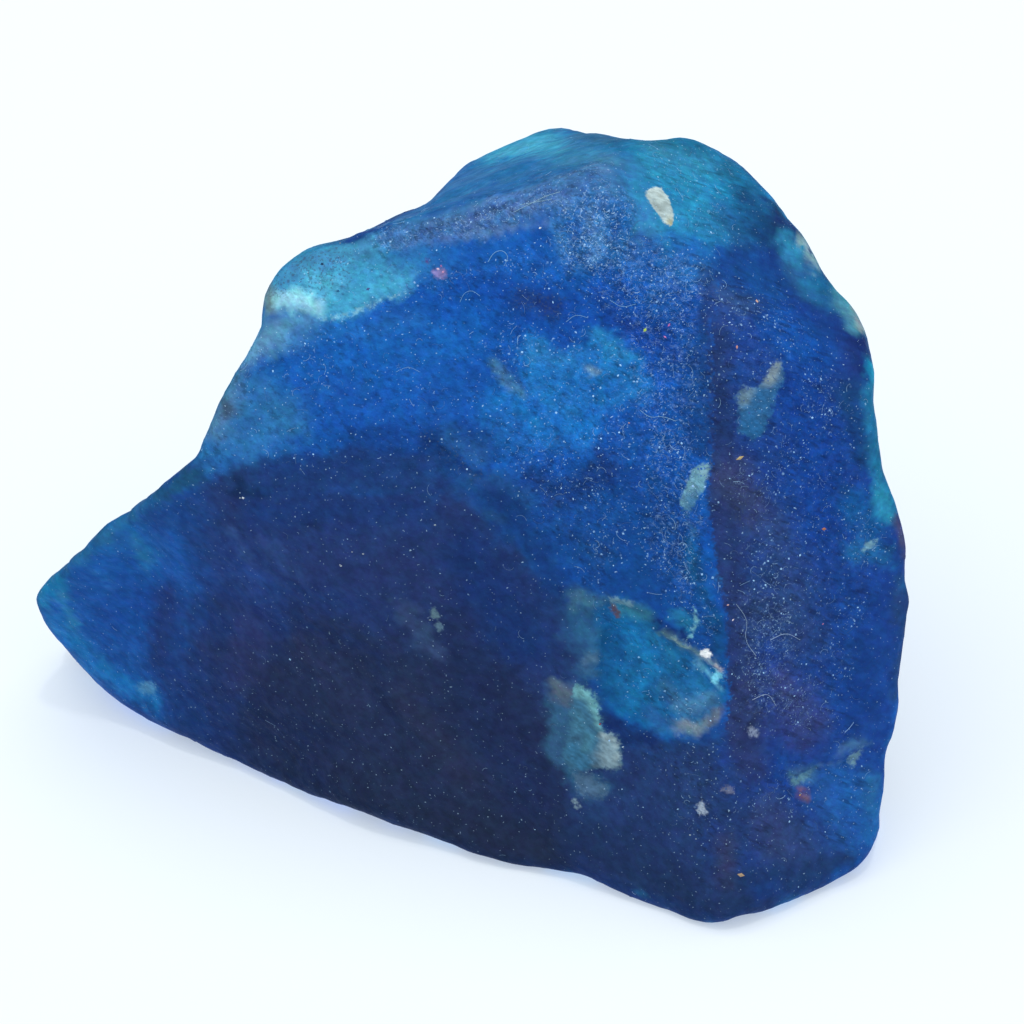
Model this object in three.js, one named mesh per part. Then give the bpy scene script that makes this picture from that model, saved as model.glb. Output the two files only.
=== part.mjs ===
// Raw aquamarine: one rough, broken lump of blue stone, standing on a flat break.
//
// Millimetres, +Z up, +X to the stone's right and +Y to its back. The origin is the
// middle of the stone's box, on the bench. The lump is one closed, faceted solid: every
// vertex lies on a ray from the heart of the stone, where that ray leaves the broken form.

import * as THREE from 'three';
import { mergeVertices } from 'three/addons/utils/BufferGeometryUtils.js';

// ---- Driving dimensions ------------------------------------------------------------

// The faces below are set out from a datum on the bench. This is where the middle of
// the finished stone's box lies from that datum, so that the stone can be moved onto it.
const BOX_MIDDLE = { x: -2.672, y: 18.835 };

// Each broken face: a point on it, the heading it looks towards (0 is front, 90 right,
// 180 back, -90 left), its lean (up is positive, overhanging negative), in degrees, and
// how widely it rounds into the faces before it, in mm.
const FRONT_FACES = [
  { name: 'brow', at: [-3.6, 11.1, 30.0], heading: -11, lean: 30, round: 3.0 },
  { name: 'flank', at: [14.8, 5.0, 17.5], heading: 29, lean: 13.5, round: 1.0 },
  { name: 'shoulder', at: [11.4, 18.3, 35.3], heading: 67, lean: 58, round: 2.2 },
  { name: 'crown', at: [-1.5, 22.0, 34.6], heading: -141, lean: 61, round: 1.4 },
];
const HIDDEN_FACES = [
  { name: 'right cheek', at: [20.4, 14.4, 29.0], heading: 110, lean: 2, round: 1.0 },
  { name: 'right side', at: [22.5, 8.0, 14.0], heading: 102, lean: -6, round: 1.0 },
  { name: 'rear shoulder', at: [15.1, 21.2, 33.9], heading: 127, lean: 21, round: 1.2 },
  { name: 'back right', at: [9.0, 34.0, 18.0], heading: 156, lean: 15, round: 2.0 },
  { name: 'back', at: [0.7, 34.4, 29.0], heading: -178, lean: 9, round: 2.0 },
  { name: 'back left', at: [-12.8, 29.7, 12.5], heading: -146, lean: 15, round: 1.4 },
];

// The foot is the tall lower face on the front left. It is twisted: it leans back at the
// right corner and overhangs more and more towards the left tip, and it bulges a little.
const FOOT = {
  at: [10.0, -0.65, 0],
  heading: -31,
  bulge: 2.0,
  bulgeMiddle: 22,
  bulgeHalfLength: 17.5,
  uprightAt: 17,
  twist: 0.0105,
  tipStart: 34,
  tipTwist: 0.03,
};

// On the left the block ends in a steep side, and a low lobe runs on below it to a tip.
const BLOCK_SIDE = { at: [-15.8, 12.3, 28.5], heading: -122, lean: 16 };
const LOBE_TOP = { at: [-22.6, 14.9, 16.8], heading: -158, lean: 34 };
const TIP_UNDERSIDE = { at: [-27.2, 20.0, 3.5], heading: -80, lean: -28 };
const LOBE_ROUND = 1.2;
const NOTCH_ROUND = 0.8;
const LEFT_ROUND = 1.2;
const BASE_ROUND = 1.2;

// Scoop-shaped breaks: a point on the uncut surface, the heading and lean of the break,
// the radius of its bowl and how deep it goes.
const SCOOPS = [
  { name: 'cheek hollow', at: [20.7, 12.8, 26.5], heading: 104, lean: 0, radius: 8, depth: 0.7 },
  { name: 'right side bowl', at: [20.8, 22.3, 15.5], heading: 108, lean: 2, radius: 12, depth: 1.8 },
  { name: 'back upper bowl', at: [3.0, 34.3, 23.5], heading: 178, lean: 16, radius: 13, depth: 2.2 },
  { name: 'back lower left bowl', at: [-9.5, 30.5, 10.2], heading: -150, lean: 12, radius: 10, depth: 1.8 },
  { name: 'back lower right bowl', at: [14.0, 32.0, 10.5], heading: 148, lean: 12, radius: 8, depth: 1.4 },
  { name: 'lobe back bowl', at: [-19.7, 22.9, 9.3], heading: -155, lean: 32, radius: 8, depth: 0.9 },
  { name: 'crown hollow', at: [-4.0, 25.0, 32.4], heading: -150, lean: 62, radius: 14, depth: 0.5 },
  { name: 'under nose bowl', at: [-14.1, 19.2, 25.1], heading: -122, lean: 18, radius: 9, depth: 1.1 },
  { name: 'rear shoulder bowl', at: [14.1, 27.0, 28.8], heading: 134, lean: 30, radius: 10, depth: 1.4 },
];
const SCOOP_ROUND = 0.7;

// Stepped breaks: stone is missing outside the floor, below the ledge and past the end.
const STEPS = [
  {
    name: 'front corner chip',
    floor: { at: [7.6, 4.1, 18.0], heading: -20, lean: 16 },
    ledge: { at: [7.3, 3.4, 17.5], heading: -37, lean: -44 },
    end: { at: [4.4, 4.0, 15.0], heading: 58, lean: 0 },
  },
  {
    name: 'back ledge',
    floor: { at: [9.0, 34.0, 12.0], heading: 162, lean: 13 },
    ledge: { at: [9.0, 35.0, 13.5], heading: 158, lean: -48 },
    end: { at: [1.0, 35.0, 8.0], heading: 118, lean: 0 },
  },
];
const STEP_ROUND = 0.5;

// Uneven breakage: waves of these lengths and heights, in mm. WARP bends the waves, so
// that they don't line up in rows.
const UNEVENNESS = [
  { length: 12.0, height: 0.34, seed: 1 },
  { length: 6.3, height: 0.2, seed: 2 },
  { length: 3.1, height: 0.1, seed: 3 },
];
const WARP = { length: 10.0, reach: 1.8, seed: 11 };
const WAVES = 6;
const WAVE_SPREAD = 0.13;

// Out of sight, behind the front faces' edges, the breakage is rougher by this factor,
// has ridges, and falls away further inside the outline. It starts HIDDEN_FROM mm deep
// behind the front faces and is full at HIDDEN_TO mm.
const HIDDEN_FROM = 0.4;
const HIDDEN_TO = 3.0;
const HIDDEN_ROUGHNESS = 1.6;
const RIDGES = { length: 7.5, height: 0.6, seed: 5 };
const FALL_AWAY = { length: 6.0, height: 0.7, seed: 8 };

// The outline that the stone shows from the front, from EYE_DISTANCE away and raised by
// EYE_RAISED degrees, looking at MIDDLE: [right, up] in mm on the plane through MIDDLE.
const MIDDLE = new THREE.Vector3(0, 14.8, 17);
const EYE_DISTANCE = 300;
const EYE_RAISED = 36;
const OUTLINE_ROUND = 0.5;
const OUTLINE = [
  // the pointed left tip and the upper edge of the lobe
  [-26.4, -4.9], [-26.0, -4.1], [-25.3, -3.4], [-23.7, -2.1], [-22.4, -0.7], [-20.4, 0.6],
  [-18.7, 1.9], [-17.3, 3.2],
  // the notch above the lobe, and the block's left side
  [-17.1, 3.9], [-16.8, 4.6], [-16.2, 5.9], [-15.2, 7.9], [-14.7, 8.6], [-13.7, 10.4],
  // the rounded nose
  [-13.9, 11.3], [-13.8, 11.9], [-13.5, 12.6], [-12.4, 13.8], [-11.5, 14.5], [-10.4, 14.8],
  // the crown, rising to the right
  [-9.0, 15.1], [-7.5, 15.8], [-6.4, 16.4], [-4.9, 16.9], [-4.1, 17.8], [-3.3, 18.5],
  [-2.4, 19.4], [-1.1, 19.8], [0.0, 20.4], [1.0, 20.8], [2.1, 21.2], [3.6, 21.2],
  [4.9, 20.8], [6.5, 20.6], [8.1, 20.5], [8.8, 20.7], [10.2, 20.5],
  // the shoulder, falling to the right
  [11.6, 19.8], [12.9, 18.9], [13.7, 17.8], [14.5, 17.0], [15.5, 15.7], [16.2, 14.9],
  [16.9, 13.7], [17.2, 12.8], [18.1, 11.9], [18.8, 11.1], [19.3, 10.2],
  // the right side
  [19.7, 8.9], [19.8, 7.7], [19.8, 6.2], [20.0, 4.2], [20.3, 2.6], [20.6, 1.8],
  [21.1, 0.8], [21.4, -0.4], [21.7, -2.2], [21.5, -3.7], [21.8, -4.7], [21.6, -6.2],
  [21.2, -9.8], [21.3, -10.7], [20.6, -13.5], [20.4, -15.9], [20.1, -17.8],
  // the right corner of the base
  [19.7, -18.8], [18.8, -19.8], [17.4, -20.5], [15.7, -21.3], [13.7, -22.0],
  // the front corner, and the notch in the base line
  [11.4, -22.6], [10.0, -22.6], [8.6, -22.1], [7.1, -21.5], [5.1, -20.6], [3.7, -19.9],
  [2.7, -19.8],
  // the long left run of the base line
  [0.9, -19.6], [-0.7, -19.2], [-2.5, -18.7], [-6.4, -17.2], [-10.7, -15.7],
  [-14.0, -14.3], [-17.5, -12.7], [-19.4, -11.8], [-21.1, -10.9],
  // the overhang under the tip
  [-22.3, -10.0], [-23.6, -8.7], [-24.9, -7.2], [-25.9, -6.1],
];

// The mesh: rays leave the heart towards an icosahedron split DETAIL times and stretched
// by SPREAD, and their ends are then evened out along the surface in RELAXING rounds.
const HEART = new THREE.Vector3(-1.5, 15, 14.5);
const SPREAD = new THREE.Vector3(25, 16, 19);
const DETAIL = 21;
const RELAXING = 12;
const RELAX_SHARE = 0.7;
const FARTHEST = 60;
const HALVINGS = 30;
const FLAT_WITHIN = 1e-4;

// ---- Planes and blends -------------------------------------------------------------

const radians = THREE.MathUtils.degToRad;

// The outward direction of a face that looks towards heading and leans by lean.
function outward(heading, lean) {
  const level = Math.cos(radians(lean));
  return new THREE.Vector3(
    Math.sin(radians(heading)) * level,
    -Math.cos(radians(heading)) * level,
    Math.sin(radians(lean)),
  );
}

// A face as a plane: how far a point lies beyond it is plane.distanceToPoint(point).
function planeOf({ at, heading, lean }) {
  const point = new THREE.Vector3(...at);
  return new THREE.Plane().setFromNormalAndCoplanarPoint(outward(heading, lean), point);
}

// The greater of two distances, with the corner between them rounded over.
function roundedMax(a, b, round) {
  const near = Math.max(round - Math.abs(a - b), 0) / round;
  return Math.max(a, b) + near * near * round / 4;
}

function roundedMin(a, b, round) {
  return -roundedMax(-a, -b, round);
}

// ---- The broken form: how far a point lies beyond each break -------------------------

const roundedPlane = (face) => ({ plane: planeOf(face), round: face.round });
const frontPlanes = FRONT_FACES.map(roundedPlane);
const hiddenPlanes = HIDDEN_FACES.map(roundedPlane);
const blockSide = planeOf(BLOCK_SIDE);
const lobeTop = planeOf(LOBE_TOP);
const tipUnderside = planeOf(TIP_UNDERSIDE);

const footStart = new THREE.Vector3(...FOOT.at);
const footOutward = outward(FOOT.heading, 0);
const footAlong = new THREE.Vector3(footOutward.y, -footOutward.x, 0);

function beyondFoot(point) {
  const offset = point.clone().sub(footStart);
  const along = offset.dot(footAlong);
  const fromMiddle = (along - FOOT.bulgeMiddle) / FOOT.bulgeHalfLength;
  const bulge = Math.max(FOOT.bulge * (1 - fromMiddle * fromMiddle), 0);
  const twist = FOOT.twist * (along - FOOT.uprightAt)
    + FOOT.tipTwist * Math.max(along - FOOT.tipStart, 0);
  return offset.dot(footOutward) - bulge - Math.max(point.z, 0) * twist;
}

function beyondLeft(point) {
  const lobe = roundedMax(
    lobeTop.distanceToPoint(point),
    tipUnderside.distanceToPoint(point),
    LOBE_ROUND,
  );
  return roundedMin(blockSide.distanceToPoint(point), lobe, NOTCH_ROUND);
}

const bowls = SCOOPS.map(({ at, heading, lean, radius, depth }) => ({
  centre: new THREE.Vector3(...at).addScaledVector(outward(heading, lean), radius - depth),
  radius,
}));

const steps = STEPS.map(({ floor, ledge, end }) => [floor, ledge, end].map(planeOf));

// How deep a point lies inside a stepped break: above its floor, below its ledge and
// past its end.
function insideStep(point, [floor, ledge, end]) {
  return Math.min(
    floor.distanceToPoint(point),
    ledge.distanceToPoint(point),
    end.distanceToPoint(point),
  );
}

// ---- Unevenness --------------------------------------------------------------------

const GOLDEN_ANGLE = Math.PI * (3 - Math.sqrt(5));

// A sum of plane waves whose directions are spread evenly over a sphere, about -1 to 1.
function waves(point, length, seed) {
  let sum = 0;
  for (let i = 0; i < WAVES; i += 1) {
    const turn = seed * 1.7 + i * GOLDEN_ANGLE;
    const up = 1 - 2 * (i + 0.5) / WAVES;
    const level = Math.sqrt(1 - up * up);
    const across = point.x * Math.cos(turn) * level + point.y * Math.sin(turn) * level;
    const cycles = (across + point.z * up) / (length * (1 + WAVE_SPREAD * i));
    sum += Math.sin(2 * Math.PI * cycles + seed * (i + 1));
  }
  return sum / Math.sqrt(2 * WAVES);
}

function warped(point) {
  const { length, reach, seed } = WARP;
  const shift = [0, 1, 2].map((axis) => reach * waves(point, length, seed + axis));
  return point.clone().add(new THREE.Vector3(...shift));
}

function unevenness(point, hidden) {
  const bent = warped(point);
  let height = 0;
  for (const { length, height: amount, seed } of UNEVENNESS) {
    height += amount * waves(bent, length, seed);
  }
  const ridge = Math.abs(waves(bent, RIDGES.length, RIDGES.seed));
  return height * (1 + (HIDDEN_ROUGHNESS - 1) * hidden) - RIDGES.height * ridge * hidden;
}

function fallAway(point, hidden) {
  return FALL_AWAY.height * (1 + waves(point, FALL_AWAY.length, FALL_AWAY.seed)) * hidden;
}

// ---- The outline seen from the front --------------------------------------------------

const towardsEye = outward(0, EYE_RAISED);
const eye = MIDDLE.clone().addScaledVector(towardsEye, EYE_DISTANCE);
const viewRight = new THREE.Vector3(1, 0, 0);
const viewUp = new THREE.Vector3().crossVectors(towardsEye, viewRight);

const outlineEdges = OUTLINE.map(([startX, startY], i) => {
  const [endX, endY] = OUTLINE[(i + 1) % OUTLINE.length];
  return { startX, startY, endX, endY, runX: endX - startX, runY: endY - startY };
});

// How far a point lies outside the outline, as it is seen from the eye.
function beyondOutline(point) {
  const fromEye = point.clone().sub(eye);
  const farther = -fromEye.dot(towardsEye) / EYE_DISTANCE;
  const x = fromEye.dot(viewRight) / farther;
  const y = fromEye.dot(viewUp) / farther;
  let nearestSquared = Infinity;
  let inside = false;
  for (const { startX, startY, endY, runX, runY } of outlineEdges) {
    const share = ((x - startX) * runX + (y - startY) * runY) / (runX * runX + runY * runY);
    const clamped = THREE.MathUtils.clamp(share, 0, 1);
    const gapX = x - startX - clamped * runX;
    const gapY = y - startY - clamped * runY;
    nearestSquared = Math.min(nearestSquared, gapX * gapX + gapY * gapY);
    const straddles = (startY > y) !== (endY > y);
    if (straddles && x < startX + (y - startY) * runX / runY) inside = !inside;
  }
  const gap = Math.sqrt(nearestSquared) * farther;
  return inside ? -gap : gap;
}

// ---- The whole stone ---------------------------------------------------------------

// How far a point lies beyond a set of faces, starting from how far it lies beyond others.
function beyondFaces(point, start, faces) {
  return faces.reduce(
    (beyond, { plane, round }) => roundedMax(beyond, plane.distanceToPoint(point), round),
    start,
  );
}

// How far a point lies beyond the surface of the stone; negative inside.
function beyondStone(point) {
  const beyondFront = beyondFaces(point, beyondFoot(point), frontPlanes);
  const hidden = THREE.MathUtils.smoothstep(-beyondFront, HIDDEN_FROM, HIDDEN_TO);
  let beyond = beyondFaces(point, beyondFront, hiddenPlanes);
  beyond = roundedMax(beyond, beyondLeft(point), LEFT_ROUND);
  for (const { centre, radius } of bowls) {
    beyond = roundedMax(beyond, radius - point.distanceTo(centre), SCOOP_ROUND);
  }
  for (const step of steps) {
    beyond = roundedMax(beyond, insideStep(point, step), STEP_ROUND);
  }
  beyond -= unevenness(point, hidden);
  const beyondEdge = beyondOutline(point) + fallAway(point, hidden);
  beyond = roundedMax(beyond, beyondEdge, OUTLINE_ROUND);
  return roundedMax(beyond, -point.z, BASE_ROUND);
}

// Where the ray from the heart along direction leaves the stone.
function surfaceAlong(direction) {
  let inner = 0;
  let outer = FARTHEST;
  const point = new THREE.Vector3();
  for (let i = 0; i < HALVINGS; i += 1) {
    const radius = (inner + outer) / 2;
    point.copy(HEART).addScaledVector(direction, radius);
    if (beyondStone(point) < 0) inner = radius;
    else outer = radius;
  }
  return point;
}

function throughSurface(point) {
  return surfaceAlong(point.clone().sub(HEART).normalize());
}

function neighboursOf(index, count) {
  const neighbours = Array.from({ length: count }, () => new Set());
  for (let i = 0; i < index.count; i += 3) {
    const corners = [index.getX(i), index.getX(i + 1), index.getX(i + 2)];
    for (const corner of corners) {
      for (const other of corners) {
        if (other !== corner) neighbours[corner].add(other);
      }
    }
  }
  return neighbours;
}

// One round of evening out: each point moves towards the middle of its neighbours and
// back onto the surface.
function relaxed(points, neighbours) {
  return points.map((point, i) => {
    const middle = new THREE.Vector3();
    for (const j of neighbours[i]) middle.add(points[j]);
    middle.divideScalar(neighbours[i].size);
    return throughSurface(point.clone().lerp(middle, RELAX_SHARE));
  });
}

function stoneGeometry() {
  const sphere = new THREE.IcosahedronGeometry(1, DETAIL);
  sphere.deleteAttribute('normal');
  sphere.deleteAttribute('uv');
  const geometry = mergeVertices(sphere);
  const position = geometry.getAttribute('position');
  const neighbours = neighboursOf(geometry.getIndex(), position.count);
  let points = Array.from({ length: position.count }, (_, i) => {
    const direction = new THREE.Vector3().fromBufferAttribute(position, i).multiply(SPREAD);
    return surfaceAlong(direction.normalize());
  });
  for (let round = 0; round < RELAXING; round += 1) points = relaxed(points, neighbours);
  points.forEach((point, i) => {
    const z = point.z < FLAT_WITHIN ? 0 : point.z;
    position.setXYZ(i, point.x - BOX_MIDDLE.x, point.y - BOX_MIDDLE.y, z);
  });
  geometry.computeVertexNormals();
  return geometry;
}

// ---- Scene graph -------------------------------------------------------------------

const blueStone = new THREE.MeshStandardMaterial({
  name: 'blue stone',
  color: 0x1f4f9e,
  roughness: 0.6,
  metalness: 0,
});

const stone = new THREE.Mesh(stoneGeometry(), blueStone);
stone.name = 'stone';

const rawAquamarine = new THREE.Group();
rawAquamarine.name = 'raw_aquamarine';
rawAquamarine.add(stone);

export default rawAquamarine;
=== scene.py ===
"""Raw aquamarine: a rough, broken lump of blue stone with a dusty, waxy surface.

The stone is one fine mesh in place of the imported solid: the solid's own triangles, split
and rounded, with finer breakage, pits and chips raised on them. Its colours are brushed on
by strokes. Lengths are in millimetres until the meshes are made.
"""
import math

import bpy
import numpy as np
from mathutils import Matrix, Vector, noise
from mathutils.bvhtree import BVHTree


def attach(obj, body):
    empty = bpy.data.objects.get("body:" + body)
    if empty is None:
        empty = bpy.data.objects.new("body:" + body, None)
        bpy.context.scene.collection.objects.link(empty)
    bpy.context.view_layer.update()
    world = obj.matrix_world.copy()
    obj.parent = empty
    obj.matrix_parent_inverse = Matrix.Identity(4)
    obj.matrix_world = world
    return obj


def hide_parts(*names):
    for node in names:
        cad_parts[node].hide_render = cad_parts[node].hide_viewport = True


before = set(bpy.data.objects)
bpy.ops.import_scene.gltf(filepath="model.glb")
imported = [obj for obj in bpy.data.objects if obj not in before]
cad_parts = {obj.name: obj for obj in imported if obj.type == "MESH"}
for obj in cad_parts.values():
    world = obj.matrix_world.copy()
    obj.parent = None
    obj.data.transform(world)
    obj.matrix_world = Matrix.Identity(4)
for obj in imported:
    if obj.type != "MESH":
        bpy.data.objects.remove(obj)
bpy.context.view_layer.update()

MM = 0.001

# Where the middle of the stone's box lies from the datum that all places are given from.
BOX_MIDDLE = np.array([-2.672, 18.835, 0.0])


# ---- The photograph's frame ------------------------------------------------------------

# The eye looks at MIDDLE from EYE_DISTANCE away and EYE_RAISED degrees up.
MIDDLE = np.array([0.0, 14.8, 17.0])
EYE_DISTANCE = 300
EYE_RAISED = 36
FRAME_PIXELS = 1024
PIXEL = 0.0552  # mm on the plane through MIDDLE


def outward(heading, lean):
    """The outward direction of a face that looks towards heading and leans by lean."""
    turn, tilt = math.radians(heading), math.radians(lean)
    return np.array(
        [math.sin(turn) * math.cos(tilt), -math.cos(turn) * math.cos(tilt), math.sin(tilt)]
    )


TOWARDS_EYE = outward(0, EYE_RAISED)
EYE = MIDDLE + TOWARDS_EYE * EYE_DISTANCE
VIEW_RIGHT = np.array([1.0, 0.0, 0.0])
VIEW_UP = np.cross(TOWARDS_EYE, VIEW_RIGHT)


def in_frame(points):
    """Where each point is seen from the eye, in pixels of the frame: across, down."""
    from_eye = points - EYE
    scale = EYE_DISTANCE / -(from_eye @ TOWARDS_EYE) / PIXEL
    middle = FRAME_PIXELS / 2
    return middle + from_eye @ VIEW_RIGHT * scale, middle - from_eye @ VIEW_UP * scale


def smooth_step(value, start, end):
    share = np.clip((value - start) / (end - start), 0, 1)
    return share * share * (3 - 2 * share)


def from_path(x, y, path):
    """How far each point of a plane lies from an open path."""
    nearest = np.full(len(x), np.inf)
    for (x0, y0), (x1, y1) in zip(path, path[1:]):
        run_x, run_y = x1 - x0, y1 - y0
        share = ((x - x0) * run_x + (y - y0) * run_y) / (run_x**2 + run_y**2)
        share = np.clip(share, 0, 1)
        nearest = np.minimum(nearest, np.hypot(x - x0 - share * run_x, y - y0 - share * run_y))
    return nearest


def beyond_loop(x, y, loop):
    """How far each point of a plane lies outside a closed loop; negative inside."""
    closed = loop + loop[:1]
    inside = np.zeros(len(x), bool)
    for (x0, y0), (x1, y1) in zip(closed, closed[1:]):
        if y0 != y1:
            straddles = (y0 > y) != (y1 > y)
            inside ^= straddles & (x < x0 + (y - y0) * (x1 - x0) / (y1 - y0))
    return np.where(inside, -1, 1) * from_path(x, y, closed)


# ---- The fine mesh ---------------------------------------------------------------------

WELD_STEPS = 1e4  # per mm; corners on the same step are one
SPLITS = 2
EVENING_ROUNDS = 10
SMOOTHING_ROUNDS = 2
EVENING_SHARE = 0.5


def welded_solid(node):
    """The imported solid's corners, joined, in millimetres from the datum, and triangles."""
    corners = np.array([corner.co for corner in node.data.vertices], float) / MM
    triangles = np.array([tuple(face.vertices) for face in node.data.polygons])
    keys = np.round(corners * WELD_STEPS).astype(np.int64)
    _, first, place = np.unique(keys, axis=0, return_index=True, return_inverse=True)
    return corners[first] + BOX_MIDDLE, place.ravel()[triangles]


def point_normals(points, triangles):
    a, b, c = (points[triangles[:, i]] for i in range(3))
    face = np.cross(b - a, c - a)
    total = np.zeros_like(points)
    for i in range(3):
        np.add.at(total, triangles[:, i], face)
    return total / np.linalg.norm(total, axis=1)[:, None]


def split(points, triangles):
    """Each triangle into four, with new points halfway along edges that bulge as arcs do."""
    edges = np.sort(triangles[:, [0, 1, 1, 2, 2, 0]].reshape(-1, 2), axis=1)
    unique, place = np.unique(edges, axis=0, return_inverse=True)
    start, end = points[unique].transpose(1, 0, 2)
    start_normal, end_normal = point_normals(points, triangles)[unique].transpose(1, 0, 2)
    half = (end - start) / 2
    bulge = (half * end_normal).sum(axis=1)[:, None] * end_normal
    bulge -= (half * start_normal).sum(axis=1)[:, None] * start_normal
    ab, bc, ca = (place.ravel() + len(points)).reshape(-1, 3).T
    a, b, c = triangles.T
    quarters = [(a, ab, ca), (ab, b, bc), (ca, bc, c), (ab, bc, ca)]
    triangles = np.concatenate([np.stack(q, axis=1) for q in quarters])
    return np.concatenate([points, start + half + bulge / 4]), triangles


def evened(points, triangles):
    """The points evened out along the surface, then a little smoothed."""
    ends = np.concatenate([triangles[:, [0, 1]], triangles[:, [1, 2]], triangles[:, [2, 0]]])
    count = np.bincount(ends[:, 0], minlength=len(points))[:, None]
    for round_number in range(EVENING_ROUNDS + SMOOTHING_ROUNDS):
        total = np.zeros_like(points)
        np.add.at(total, ends[:, 0], points[ends[:, 1]])
        pull = (total / count - points) * EVENING_SHARE
        if round_number < EVENING_ROUNDS:
            normals = point_normals(points, triangles)
            pull -= (pull * normals).sum(axis=1)[:, None] * normals
        points = points + pull
    return points


# ---- Fine relief -----------------------------------------------------------------------

# Bumps of fresh breakage: the length of the largest, the height of all, and octaves.
BUMP_LENGTH, BUMP_HEIGHT, BUMP_OCTAVES = 2.4, 0.10, 5
# Shallow pits: how far apart they are, and how deep.
PIT_SPACING, PIT_DEPTH = 1.9, 0.09
# How much fuller the stone is at its right than the solid, and along the rim of its base,
# where the solid is rounded off more than the stone.
RIGHT_FILL, RIGHT_FROM, RIGHT_TO = 0.12, 2.0, 16.0
RIM_FILL, RIM_HEIGHT = 0.25, 1.2

# Without a seed, noise_vector takes another part of the noise in each run.
NOISE_SEED = 3
noise.seed_set(NOISE_SEED)


def fractal(points, length, octaves, seed):
    """Fractal noise, about -1 to 1, whose largest bumps are length apart."""
    shift = Vector((seed * 7.3, seed * -3.1, seed * 5.7))
    return np.array([noise.fractal(Vector(p) / length + shift, 1.0, 2.1, octaves) for p in points])


def drift(points, length, seed):
    """A smooth random push for each point, in three directions, about -1 to 1."""
    shift = Vector((seed * 4.9, seed * 6.1, seed * -2.3))
    return np.array([noise.noise_vector(Vector(p) / length + shift) for p in points])


def pits(points, spacing, seed):
    """How deep each point lies in a scatter of round pits, 0 to 1."""
    shift = Vector((seed * 3.7, seed * 1.9, seed * -4.3))
    nearest = [noise.voronoi(Vector(p) / spacing + shift)[0][0] for p in points]
    return 1 - smooth_step(np.array(nearest), 0.0, 0.32)


# ---- Strokes ---------------------------------------------------------------------------

# Strokes are placed on the photograph's frame. Places are in pixels, written as in
# a drawing's polyline: across,down across,down. Softness is how wide a stroke's edge is,
# and raggedness how far noise bends it, in pixels too. A stroke with a width follows its
# path; one without fills its loop.


def places(text):
    return [tuple(map(float, place.split(","))) for place in text.split()]


def new_stroke(text, width, soft, ragged, amount, colour=None):
    return {
        "path": places(text),
        "width": width,
        "soft": soft,
        "ragged": ragged,
        "amount": amount,
        "colour": colour,
    }


def patch(text, colour, soft, share=1, ragged=16):
    """A loop of one colour. The colour is as the eye sees it; share is how much it covers."""
    return new_stroke(text, None, soft, ragged, share, colour)


def streak(text, width, colour, soft, share=0.8, ragged=8):
    """A path of one colour, width pixels wide to each side."""
    return new_stroke(text, width, soft, ragged, share, colour)


def raised(text, height, soft, width=None, ragged=5):
    """A ridge, or a groove where the height, in millimetres, is below 0."""
    return new_stroke(text, width, soft, ragged, height)


def strength(text, share, soft=40, width=None):
    """Where the surface is dusty or grimy, and how strongly."""
    return new_stroke(text, width, soft, 12, share)


class Canvas:
    """Where each point of the surface lies in the frame, and which way noise bends it there."""

    def __init__(self, across, down, bend):
        self.across, self.down, self.bend = across, down, bend

    def beyond(self, stroke):
        """How far each point lies beyond a stroke's edge, in pixels."""
        x = self.across + self.bend[:, 0] * stroke["ragged"]
        y = self.down + self.bend[:, 1] * stroke["ragged"]
        if stroke["width"] is None:
            return beyond_loop(x, y, stroke["path"])
        return from_path(x, y, stroke["path"]) - stroke["width"]

    def amount(self, stroke):
        """A stroke's share, strength or height at each point, with its soft edge."""
        half = stroke["soft"] / 2
        return stroke["amount"] * (1 - smooth_step(self.beyond(stroke), -half, half))

    def brushed(self, colours, strokes):
        """The colours after all strokes, each over those before it."""
        for stroke in strokes:
            share = self.amount(stroke)[:, None]
            colours = colours * (1 - share) + linear(stroke["colour"]) * share
        return colours

    def crisp(self, marks):
        """For the nearest mark: the gap to its edge by its softness, its colour and share."""
        nearest = np.full(len(self.across), 9.0)
        colours = np.zeros((len(nearest), 3))
        share = np.zeros(len(nearest))
        for mark in marks:
            gap = self.beyond(mark) / mark["soft"]
            closer = gap < nearest
            nearest = np.where(closer, gap, nearest)
            colours[closer] = linear(mark["colour"])
            share[closer] = mark["amount"]
        return nearest, colours, share

    def beyond_arris(self):
        """How far each point lies right of the arris, by the change's half width."""
        heights, course, widths = np.array(ARRIS_COURSE).T
        bent = self.across + 3 * self.bend[:, 0]
        return (bent - np.interp(self.down, heights, course)) / np.interp(self.down, heights, widths)


def linear(colour):
    """A colour as light, from how the eye sees it, written as #rrggbb."""
    value = np.array([int(colour[i : i + 2], 16) for i in (1, 3, 5)]) / 255
    return np.where(value <= 0.04045, value / 12.92, ((value + 0.055) / 1.055) ** 2.4)


# ---- Relief: ridges, grooves and broken edges ------------------------------------------

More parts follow.
